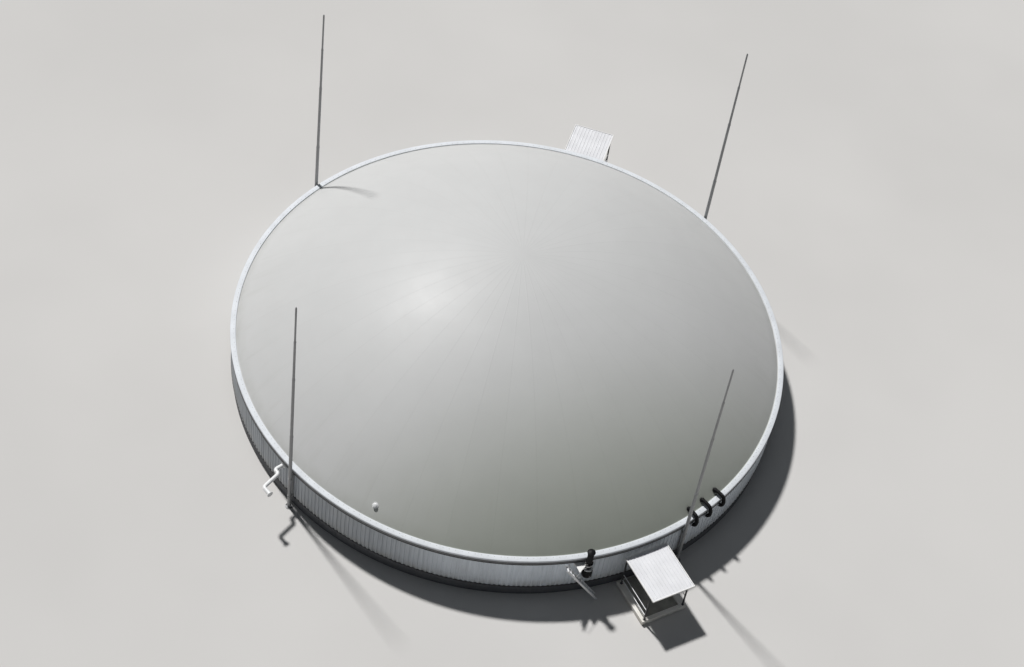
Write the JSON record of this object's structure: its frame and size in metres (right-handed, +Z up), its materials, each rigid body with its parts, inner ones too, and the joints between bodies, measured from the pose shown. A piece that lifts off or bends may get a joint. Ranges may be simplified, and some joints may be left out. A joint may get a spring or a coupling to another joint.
{
  "type": "biogas digester",
  "caption": "Round biogas digester: clad concrete tank under a domed gas-holding membrane, with a white clamp rail, lightning masts, sheltered agitators, vent, ducts and gas outlet.",
  "frame": {"origin": "centre of the underside of the floor slab, at ground level", "axes": "+Z up; +Y away from the picture's viewpoint, +X to its right"},
  "size_m": [30.9, 35.2608, 15.8],
  "materials": {
    "tank_concrete": "cast concrete, matt",
    "ribbed_cladding": "light grey coated ribbed sheet, satin",
    "plinth_coat": "near-black coating over insulation, matt",
    "roof_fabric": "coated membrane, light grey, satin",
    "white_rail": "white coated, satin",
    "mast_steel": "dull grey zinc, satin",
    "station_steel": "dark grey, satin",
    "roof_sheet": "white coated sheet, satin",
    "drive_paint": "dark blue-grey enamel",
    "black_pipe": "black polyethylene, satin",
    "light_steel": "light galvanised, dull",
    "gas_pipe": "white coated pipe, satin"
  },
  "bodies": {
    "root": {"floor_slab": "tank_concrete", "tank_wall_1": "tank_concrete", "tank_wall_2": "tank_concrete", "tank_wall_3": "tank_concrete", "tank_wall_4": "tank_concrete", "station_pad_1": "tank_concrete", "station_pad_2": "tank_concrete", "wall_plinth_1": "plinth_coat", "wall_plinth_2": "plinth_coat", "wall_cladding_1": "ribbed_cladding", "wall_cladding_2": "ribbed_cladding", "wall_cladding_3": "ribbed_cladding", "wall_cladding_4": "ribbed_cladding", "wall_cladding_5": "ribbed_cladding", "wall_cladding_6": "ribbed_cladding", "wall_cladding_7": "ribbed_cladding", "wall_cladding_8": "ribbed_cladding", "roof_membrane": "roof_fabric", "clamp_rail_1": "white_rail", "clamp_rail_2": "white_rail", "clamp_rail_3": "white_rail", "clamp_rail_4": "white_rail", "lightning_mast_1": "mast_steel", "lightning_mast_2": "mast_steel", "lightning_mast_3": "mast_steel", "lightning_mast_4": "mast_steel", "mast_bracket_1": "mast_steel", "mast_bracket_2": "mast_steel", "mast_bracket_3": "mast_steel", "mast_bracket_4": "mast_steel", "station_frame_1": "station_steel", "station_frame_2": "station_steel", "station_roof_1": "roof_sheet", "station_roof_2": "roof_sheet", "agitator_drive_1": "drive_paint", "agitator_drive_2": "drive_paint", "safety_vent": "black_pipe", "air_duct_1": "black_pipe", "air_duct_2": "black_pipe", "air_duct_3": "black_pipe", "vent_bracket": "light_steel", "service_ladder": "light_steel", "gas_outlet": "gas_pipe"}
  },
  "joints": []
}
